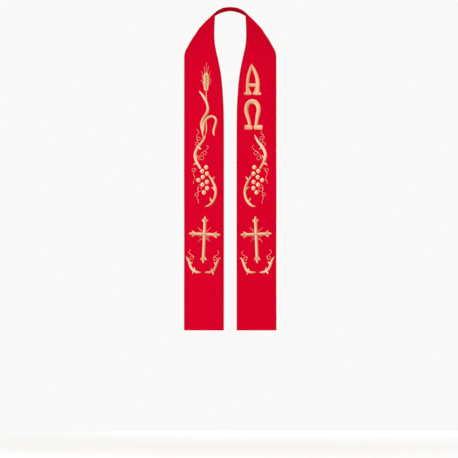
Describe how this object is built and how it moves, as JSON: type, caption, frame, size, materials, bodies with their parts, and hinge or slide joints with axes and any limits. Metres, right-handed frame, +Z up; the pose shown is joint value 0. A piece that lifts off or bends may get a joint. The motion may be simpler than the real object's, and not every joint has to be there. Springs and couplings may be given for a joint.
{
  "type": "clerical stole",
  "caption": "Long red stole worn round the neck, its straight fronts embroidered in gold with wheat, vine, grapes, cross, Alpha and Omega.",
  "frame": {"origin": "the nape: the middle of the neck edge at the back, where the wearer's neck holds the stole", "axes": "+Z up, the fronts face -Y, +X towards the wearer's left"},
  "size_m": [0.3244, 0.2646, 1.1371],
  "materials": {
    "red_cloth": "fine plain-weave red cloth with a soft sheen, turned and pressed edges",
    "gold_thread": "padded satin stitch in pale gold metallic thread"
  },
  "bodies": {
    "root": {"cane_left": "gold_thread", "cane_right": "gold_thread", "cross_left": "gold_thread", "cross_right": "gold_thread", "grape_left_1": "gold_thread", "grape_left_2": "gold_thread", "grape_left_3": "gold_thread", "grape_left_4": "gold_thread", "grape_left_5": "gold_thread", "grape_left_6": "gold_thread", "grape_left_7": "gold_thread", "grape_left_8": "gold_thread", "grape_left_9": "gold_thread", "grape_right_1": "gold_thread", "grape_right_2": "gold_thread", "grape_right_3": "gold_thread", "grape_right_4": "gold_thread", "grape_right_5": "gold_thread", "grape_right_6": "gold_thread", "grape_right_7": "gold_thread", "grape_right_8": "gold_thread", "grape_right_9": "gold_thread", "letter_alpha": "gold_thread", "letter_omega": "gold_thread", "panel_left": "red_cloth", "panel_right": "red_cloth", "scroll_inner_left": "gold_thread", "scroll_inner_right": "gold_thread", "scroll_outer_left": "gold_thread", "scroll_outer_right": "gold_thread", "vine_left": "gold_thread", "vine_right": "gold_thread", "wheat_ear": "gold_thread", "wheat_leaves": "gold_thread"}
  },
  "joints": []
}
